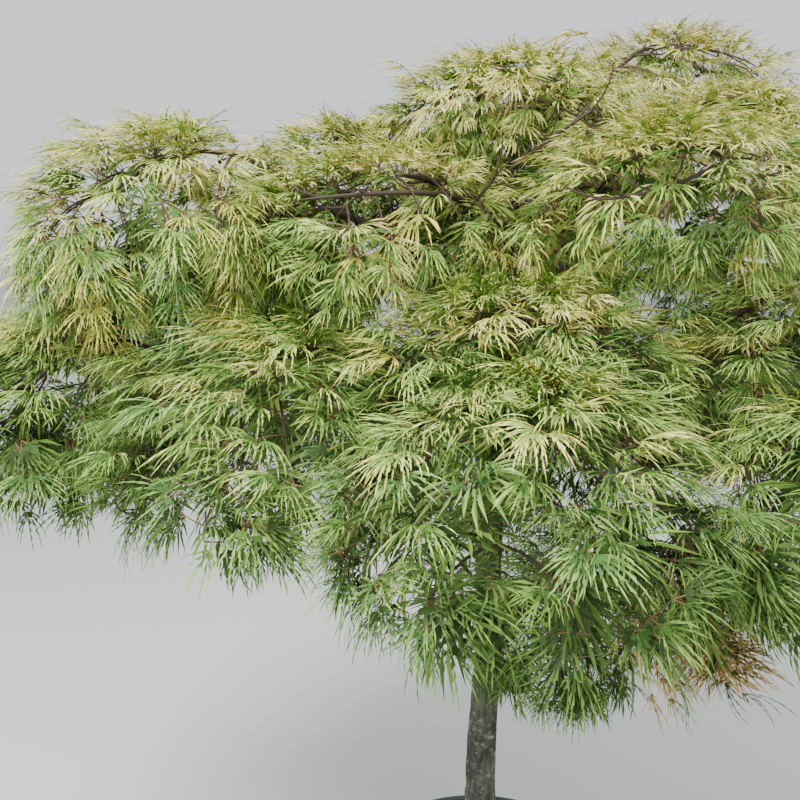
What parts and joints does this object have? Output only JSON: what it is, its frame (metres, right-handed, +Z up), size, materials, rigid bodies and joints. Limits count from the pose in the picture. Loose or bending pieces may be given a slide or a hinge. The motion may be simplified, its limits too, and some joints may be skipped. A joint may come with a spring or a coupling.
{
  "type": "potted japanese maple",
  "caption": "Potted weeping Japanese maple: a slender trunk under a tiered, drooping crown of finely cut green leaves, in a plain black nursery pot.",
  "frame": {"origin": "centre of the pot's flat underside, on the axis of the trunk's foot", "axes": "+Z up; the picture looks along +Y, with +X to the right of the picture"},
  "size_m": [2.1718, 1.8683, 1.9377],
  "materials": {
    "pot_plastic": "black moulded plastic, dusty and scuffed on the rim",
    "potting_mix": "rough, damp bark-based potting mix",
    "bark": "grey-brown bark with pale lichen, rough",
    "foliage": "matt green leaves, paler at the tips, on brown-red twigs"
  },
  "bodies": {
    "root": {"bough_1": "bark", "bough_2": "bark", "bough_3": "bark", "bough_4": "bark", "bough_5": "bark", "foliage_apex": "foliage", "foliage_crest": "foliage", "foliage_inner": "foliage", "foliage_middle_1": "foliage", "foliage_middle_2": "foliage", "foliage_middle_3": "foliage", "foliage_middle_4": "foliage", "foliage_middle_5": "foliage", "foliage_middle_6": "foliage", "foliage_skirt_1": "foliage", "foliage_skirt_10": "foliage", "foliage_skirt_2": "foliage", "foliage_skirt_3": "foliage", "foliage_skirt_4": "foliage", "foliage_skirt_5": "foliage", "foliage_skirt_6": "foliage", "foliage_skirt_7": "foliage", "foliage_skirt_8": "foliage", "foliage_skirt_9": "foliage", "foliage_top_1": "foliage", "foliage_top_2": "foliage", "foliage_top_3": "foliage", "foliage_top_4": "foliage", "foliage_top_5": "foliage", "leader_1": "bark", "leader_2": "bark", "limb_inner": "bark", "limb_middle_1": "bark", "limb_middle_2": "bark", "limb_middle_3": "bark", "limb_middle_4": "bark", "limb_middle_5": "bark", "limb_middle_6": "bark", "limb_skirt_1": "bark", "limb_skirt_10": "bark", "limb_skirt_2": "bark", "limb_skirt_3": "bark", "limb_skirt_4": "bark", "limb_skirt_5": "bark", "limb_skirt_6": "bark", "limb_skirt_7": "bark", "limb_skirt_8": "bark", "limb_skirt_9": "bark", "pot": "pot_plastic", "soil": "potting_mix", "trunk": "bark"}
  },
  "joints": []
}
